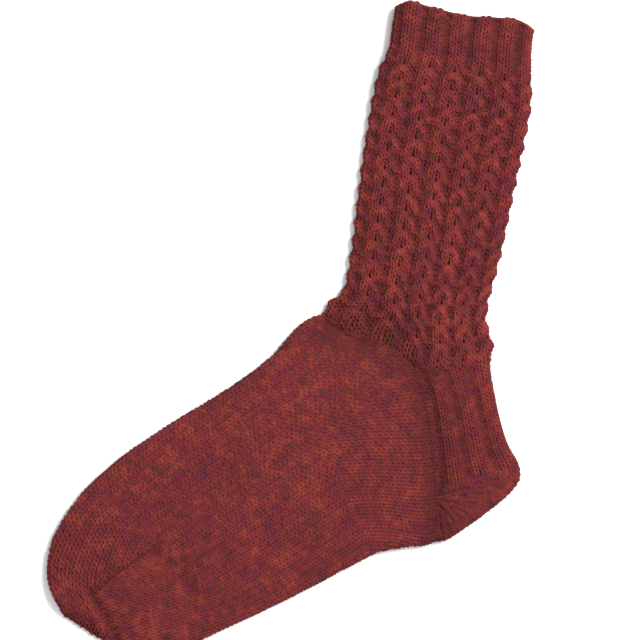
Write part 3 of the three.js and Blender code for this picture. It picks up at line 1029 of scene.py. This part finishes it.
def wall_piece(piece_name, section):
    cloth = cloths[section]
    last = cloth.rows - (TOE_WALL_END if section == "toe" else 0)
    rows = np.linspace(0, last, cloth.rows + 1)
    count = WALL_AROUND if cloth.ring else WALL_AROUND + 1
    row, around = np.meshgrid(rows, np.arange(count) / WALL_AROUND, indexing="ij")
    places, normals = cloth.place(around, row)
    relief = relief_at(section, stitch_at(section, around, row), row, places)
    skins = []
    for offset, least_height in ((WALL_TOP[section], FLOOR_TOP), (WALL_UNDER, FLOOR_UNDER)):
        skin = places + normals * (relief + offset)[..., None]
        skin[..., 2] = np.maximum(skin[..., 2], least_height)
        skins.append(skin.reshape(-1, 3))
    index = np.arange(len(rows) * count).reshape(len(rows), count)
    nearer = np.roll(index, -1, 1) if cloth.ring else index[:, 1:]
    here = index if cloth.ring else index[:, :-1]
    outer = np.stack([here[:-1], here[1:], nearer[1:], nearer[:-1]], -1).reshape(-1, 4)
    inner = outer[:, ::-1] + index.size
    edges = [(here[0], nearer[0]), (nearer[-1], here[-1])]
    if not cloth.ring:
        edges += [(index[1:, 0], index[:-1, 0]), (index[:-1, -1], index[1:, -1])]
    ends = [np.stack([i, j, j + index.size, i + index.size], -1) for i, j in edges]
    return mesh_object(piece_name, np.vstack(skins), np.vstack([outer, inner, *ends]))


walls = {section: wall_piece(section + "_cloth", section) for section in cloths}

# %% [markdown]
# ## Cast-on edge
#
# The first stitches are cast on as two strands that twist round each other once a stitch, and
# that firm little rope is the rim of the cuff. A plain ring of yarn would be quicker, but its
# edge would look cut. Two helices round the first row need only an angle for each stitch.

# %% Two strands twisted round the rim
ROPE_RADIUS, ROPE_YARN = 0.62, 0.7
ROPE_SAMPLES = 8
ROPE_ROW = -0.1  # just above the first row


def rope_strands():
    stitch = np.arange(ROUND * ROPE_SAMPLES + 1) / ROPE_SAMPLES
    row = np.full(len(stitch), ROPE_ROW)
    places, normals = cloths["cuff"].place(leg_around(stitch, cloths["cuff"].side[0]), row)
    out = unit(np.cross(normals, unit(np.gradient(places, axis=0))))
    lift = relief_at("cuff", stitch, row, places)
    places = places + normals * lift[:, None]
    # The rope gets painted shade from the same relief as the cloth under it.
    hollow = painted_shade_at(lift, places)
    strands = []
    for start in (0, math.pi):
        angle = 2 * math.pi * stitch + start
        swing = np.cos(angle)[:, None] * normals + np.sin(angle)[:, None] * out
        points = places + ROPE_RADIUS * swing
        points[:, 2] = np.maximum(points[:, 2], ROPE_YARN)
        strands.append(((points, normals, ROPE_YARN, hollow), UPPER_SIDES))
    return strands


knits["cuff"].append(strands_piece("cast_on_edge", rope_strands(), 1))

# %% [markdown]
# ## Shader maths as expressions
#
# A material is a small program made of nodes. Its nodes could be wired one by one, but sums
# are hard to read that way. Wrapping a socket in a class that knows plus, minus and times, with
# a number on either side, lets the program be written as ordinary expressions.

# %% A number socket as a value
class Value:
    def __init__(self, finish, socket):
        self.finish = finish
        self.socket = socket

    def maths(self, operation, *others):
        made = {i: other for i, other in enumerate((self, *others))}
        return self.finish.node("ShaderNodeMath", {"operation": operation}, made)

    def __add__(self, other):
        return self.maths("ADD", other)

    def __sub__(self, other):
        return self.maths("SUBTRACT", other)

    def __rsub__(self, other):
        return (self * -1) + other

    def __mul__(self, other):
        return self.maths("MULTIPLY", other)

    __radd__ = __add__
    __rmul__ = __mul__

    def sine(self):
        return self.maths("SINE")


print("named methods of a value:", [name for name in vars(Value) if name[0] != "_"])

# %% [markdown]
# ## One material
#
# Every finish here is a node tree that ends in the same kind of shader. One method adds any
# node from its type, its settings and what goes into its sockets, so the rest reads as a
# recipe.

# %% The node tree
class Finish:
    def __init__(self, name):
        self.material = bpy.data.materials.new(name)
        self.material.use_nodes = True
        self.tree = self.material.node_tree
        self.shader = self.tree.nodes["Principled BSDF"]

    def feed(self, socket, value):
        if isinstance(value, Value):
            self.tree.links.new(value.socket, socket)
        else:
            socket.default_value = value

    def surface(self, values):
        for name, value in values.items():
            self.feed(self.shader.inputs[name], value)

    def node(self, kind, settings, sockets, output=0):
        made = self.tree.nodes.new(kind)
        for setting, value in settings.items():
            if setting == "stops":
                ramp = made.color_ramp
                while len(ramp.elements) < len(value):
                    ramp.elements.new(1.0)
                for element, (place, colour) in zip(ramp.elements, value):
                    element.position = place
                    element.color = colour
            else:
                setattr(made, setting, value)
        for socket, value in sockets.items():
            self.feed(made.inputs[socket], value)
        return Value(self, made.outputs[output])


MIX_FACTOR, MIX_A, MIX_B, MIX_COLOUR_OUT = 0, 6, 7, 2
OBJECT_PLACE, FACTOR_OUT = 3, 2  # outputs of the coordinate and the attribute node


def mixed(finish, factor, a, b, how="MIX"):
    settings = {"data_type": "RGBA", "blend_type": how}
    sockets = {MIX_FACTOR: factor, MIX_A: a, MIX_B: b}
    return finish.node("ShaderNodeMix", settings, sockets, MIX_COLOUR_OUT)


def vector_maths(finish, operation, a, b):
    return finish.node("ShaderNodeVectorMath", {"operation": operation}, {0: a, 1: b})


def noise_at(finish, place, scale, detail):
    return finish.node("ShaderNodeTexNoise", {}, {"Vector": place, "Scale": scale, "Detail": detail})


def object_place(finish):
    return finish.node("ShaderNodeTexCoord", {}, {}, OBJECT_PLACE)


print("materials before the wool:", len(bpy.data.materials))

# %% [markdown]
# ## Heathered wool
#
# The yarn is spun from wool dyed in several colours before spinning: brick red, rust, plum and
# a little olive. Along a strand the colours come in short flecks, and over the sock in soft
# patches. One noise can only be fine or broad, so three are added: one that runs along the
# strand, and two that lie in space and reach over many strands.

# %% The colours and their flecks
def sRGB(r, g, b):
    """A colour from the 0 to 255 scale, made linear."""
    channels = [((c / 255 + 0.055) / 1.055) ** 2.4 for c in (r, g, b)]
    return (*channels, 1)


BRICK, RUST = sRGB(114, 40, 42), sRGB(134, 53, 44)
PLUM, OLIVE = sRGB(98, 32, 49), sRGB(66, 42, 29)
DEEP = sRGB(48, 12, 10)  # what little light comes back from a trough
BLACK, WHITE = (0, 0, 0, 1), (1, 1, 1, 1)
FLECK_LENGTH, FLECK_ACROSS = 3.2, 1.1
BLOTCH_SIZE, PATCH_SIZE = 4.6, 11.0
FLECK_PART, BLOTCH_PART, PATCH_PART = 0.15, 0.6, 0.25
FLECK_DETAIL, PATCH_DETAIL = 2.0, 1.0


def heather(finish, along, place):
    """The three noises that the colours follow, from a fleck on a strand to a patch of cloth."""
    spot = vector_maths(finish, "MULTIPLY", along, (1 / FLECK_LENGTH, FLECK_ACROSS, 1))
    fleck = noise_at(finish, spot, 1.0, FLECK_DETAIL)
    blotch = noise_at(finish, place, 1 / (BLOTCH_SIZE * MM), PATCH_DETAIL)
    patch = noise_at(finish, place, 1 / (PATCH_SIZE * MM), PATCH_DETAIL)
    return fleck * FLECK_PART + blotch * BLOTCH_PART + patch * PATCH_PART


print("brick red, linear:", [round(c, 3) for c in BRICK[:3]])

# %% [markdown]
# ## The wool's colour
#
# The reds pass into each other, and the olive lies over them in its own places, as a second
# batch of fibre would. A painted picture would blur close up, so two colour ramps read the
# noise instead. Then the section's tint is multiplied in, and painted shade darkens the troughs
# and the cloth beside the ankle's seams.

# %% Red, olive and shade
NOISE_MIDDLE = 0.5
RED_SPREAD = 0.11  # noise on each side of the middle over which brick passes to plum or rust
RED_CORE = 0.01  # noise on each side of the middle that stays brick
OLIVE_FROM, OLIVE_SPREAD, OLIVE_SHARE = 0.53, 0.1, 0.85
ALONG_SHIFT, PLACE_SHIFT = (31.7, 12.3, 5.1), (0.31, 0.12, 0.05)  # to a noise of olive's own
PAINTED_SHADE_STRENGTH = 0.6  # how dark the painted shade makes the deepest troughs


def wool_colour(finish, along, tint, strength):
    place = object_place(finish)
    warm = heather(finish, along, place)
    spread = RED_SPREAD / strength
    core = [(NOISE_MIDDLE - RED_CORE, BRICK), (NOISE_MIDDLE + RED_CORE, BRICK)]
    stops = [(NOISE_MIDDLE - spread, PLUM), *core, (NOISE_MIDDLE + spread, RUST)]
    red = finish.node("ShaderNodeValToRGB", {"stops": stops}, {"Fac": warm})
    along = vector_maths(finish, "ADD", along, ALONG_SHIFT)
    place = vector_maths(finish, "ADD", place, PLACE_SHIFT)
    green = heather(finish, along, place)
    stops = [(OLIVE_FROM, BLACK), (OLIVE_FROM + OLIVE_SPREAD / strength, WHITE)]
    dark = finish.node("ShaderNodeValToRGB", {"stops": stops}, {"Fac": green})
    colour = mixed(finish, dark * (OLIVE_SHARE * strength), red, OLIVE)
    colour = mixed(finish, 1.0, colour, tint, "MULTIPLY")
    # Painted shade: where the stored shade is high, the colour is mixed towards DEEP.
    hollow = finish.node("ShaderNodeAttribute", {"attribute_name": "hollow"}, {}, FACTOR_OUT)
    return mixed(finish, 1 - hollow * PAINTED_SHADE_STRENGTH, DEEP, colour)


print("darkest trough keeps, of its own colour:", round(1 - PAINTED_SHADE_STRENGTH, 2))

# %% [markdown]
# ## Plies, fibre and sheen
#
# A strand is two plies twisted together, with a fuzz of fibre over them, so wool has almost
# no gloss, only a faint sheen at its edges. Modelling the plies would take many times the
# triangles for a relief of a fifth of a millimetre, so they are bump: a sine that climbs round
# the strand, and a stretched noise for the fibre.

# %% The wool
PLIES, PLY_TWIST = 2, 2.4  # and mm of strand from one ply to the next
PLY_HEIGHT, FIBRE_HEIGHT = 0.5, 0.9
FIBRE_STRETCH, FIBRE_DETAIL = (1.2, 9, 1), 3.0
BUMP_STRENGTH, BUMP_DEPTH = 0.8, 0.22
WOOL_SURFACE = {
    "Roughness": 0.92, "Specular IOR Level": 0.25,
    "Sheen Weight": 0.25, "Sheen Roughness": 0.6, "Sheen Tint": BRICK,
}


def strand_relief(finish, along):
    length = finish.node("ShaderNodeSeparateXYZ", {}, {0: along})
    turn = Value(finish, length.socket.node.outputs[1])
    plies = (length * (2 * math.pi / PLY_TWIST) + turn * (PLIES * 2 * math.pi)).sine()
    fibre = noise_at(finish, vector_maths(finish, "MULTIPLY", along, FIBRE_STRETCH), 1.0, FIBRE_DETAIL)
    return plies * PLY_HEIGHT + fibre * FIBRE_HEIGHT


def wool(name, tint, strength):
    finish = Finish(name)
    along = finish.node("ShaderNodeUVMap", {"uv_map": "strand"}, {})
    height = strand_relief(finish, along)
    bump = {"Strength": BUMP_STRENGTH, "Distance": BUMP_DEPTH * MM, "Height": height}
    finish.surface(WOOL_SURFACE)
    finish.surface({
        "Base Color": wool_colour(finish, along, tint, strength),
        "Normal": finish.node("ShaderNodeBump", {}, bump),
    })
    return finish.material


SLOTS = {
    "cuff": "rib_wool", "leg": "eyelet_wool", "heelFlap": "heel_wool",
    "heelTurn": "heel_wool", "foot": "foot_wool", "toe": "foot_wool",
}
TINTS = {
    "rib_wool": (0.785, 0.73, 0.69, 1), "eyelet_wool": (0.85, 0.79, 0.75, 1),
    "heel_wool": (0.84, 0.775, 0.775, 1), "foot_wool": (0.95, 0.905, 0.88, 1),
}
HEATHER = {"rib_wool": 0.8, "eyelet_wool": 0.85, "heel_wool": 0.75, "foot_wool": 0.75}
finishes = {slot: wool(slot, tint, HEATHER[slot]) for slot, tint in TINTS.items()}
print("finishes:", sorted(finishes))

# %% [markdown]
# ## The wool behind
#
# What shows between the loops is the same wool in shade, so the wall wears the wool's colours
# darkened as painted shade. The strands' own finish can't be used, because a wall has no strand
# to run along. A plainer one with the same colours does.

# %% The wool of the wall
SHADE = 0.64  # share of the tint kept on the wall behind the loops, as painted shade
SPECK_SIZE, SPECK_DETAIL = 1.6, 3.0
SPECK_STOPS = [(0.36, PLUM), (0.52, BRICK), (0.74, RUST)]
UNDER_STRENGTH, UNDER_DEPTH = 0.6, 0.2
UNDER_SURFACE = {"Roughness": 0.95, "Specular IOR Level": 0.15}


def shaded_wool(name, tint):
    finish = Finish(name)
    speck = noise_at(finish, object_place(finish), 1 / (SPECK_SIZE * MM), SPECK_DETAIL)
    colour = finish.node("ShaderNodeValToRGB", {"stops": SPECK_STOPS}, {"Fac": speck})
    bump = {"Strength": UNDER_STRENGTH, "Distance": UNDER_DEPTH * MM, "Height": speck}
    finish.surface(UNDER_SURFACE)
    finish.surface({
        "Base Color": mixed(finish, 1.0, colour, tint, "MULTIPLY"),
        "Normal": finish.node("ShaderNodeBump", {}, bump),
    })
    return finish.material


# The walls' finishes: each tint darkened by SHADE, as painted shade.
shade_finishes = {
    slot: shaded_wool("under_" + slot, (*[SHADE * c for c in tint[:3]], 1))
    for slot, tint in TINTS.items()
}
print("finishes in shade:", sorted(shade_finishes))

# %% [markdown]
# ## What rides, and what it replaces
#
# Each section's wall stands for its solid, and its strands lie on it. All of it is one body,
# so every piece rides on the root. A knitted tube has no cut pattern to state. Its flat size
# is its greatest measure all round by its length down the middle.


for section, wall in walls.items():
    slot = SLOTS[section]
    wall.data.materials.append(shade_finishes[slot])
    for piece in [wall, *knits[section]]:
        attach(piece, "root")
    for piece in knits[section]:
        piece.data.materials.append(finishes[slot])
    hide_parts(section)

# %% [markdown]
# ## The count of triangles
#
# The packed model's box was measured before anything was built. Here the strands' triangles
# are added up.

# %% Count the strands' triangles
total = sum(2 * len(piece.data.polygons) for group in knits.values() for piece in group)
print("triangles in the strands:", total)
